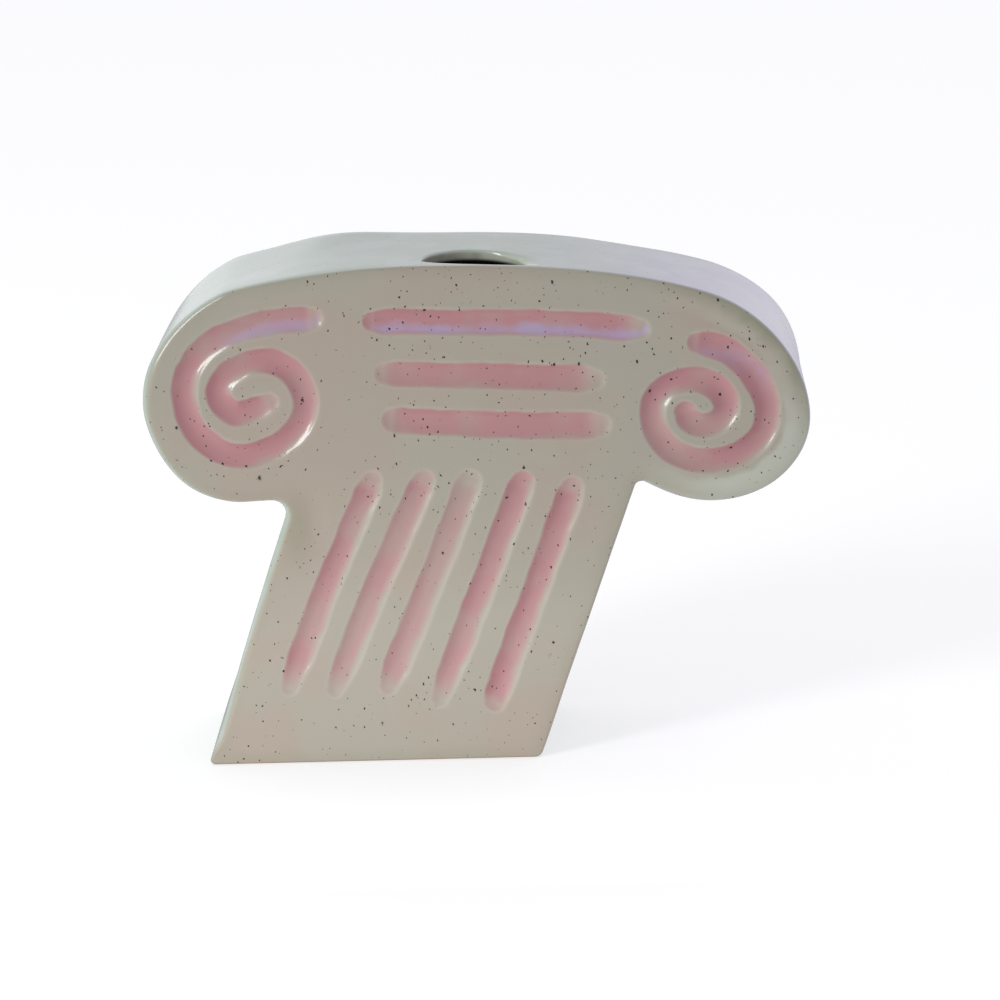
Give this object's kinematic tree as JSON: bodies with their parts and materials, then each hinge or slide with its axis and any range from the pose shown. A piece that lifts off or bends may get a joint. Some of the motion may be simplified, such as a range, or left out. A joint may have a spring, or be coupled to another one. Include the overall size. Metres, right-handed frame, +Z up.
{
  "type": "column-capital vase",
  "caption": "Small hollow stoneware vase in the form of a leaning Ionic capital, with carved volutes, bars and flutes and an oval mouth in the top.",
  "frame": {"origin": "on the ground under the middle of the vase's box", "axes": "+X to the right as the carved face is seen, +Y into the depth towards the plain back, +Z up"},
  "size_m": [0.2, 0.048, 0.158],
  "materials": {
    "glazed_stoneware": "satin warm grey glaze over iron-speckled stoneware, pink glaze pooled in the carved grooves, bare clay underneath"
  },
  "bodies": {
    "root": {"vase": "glazed_stoneware"}
  },
  "joints": []
}
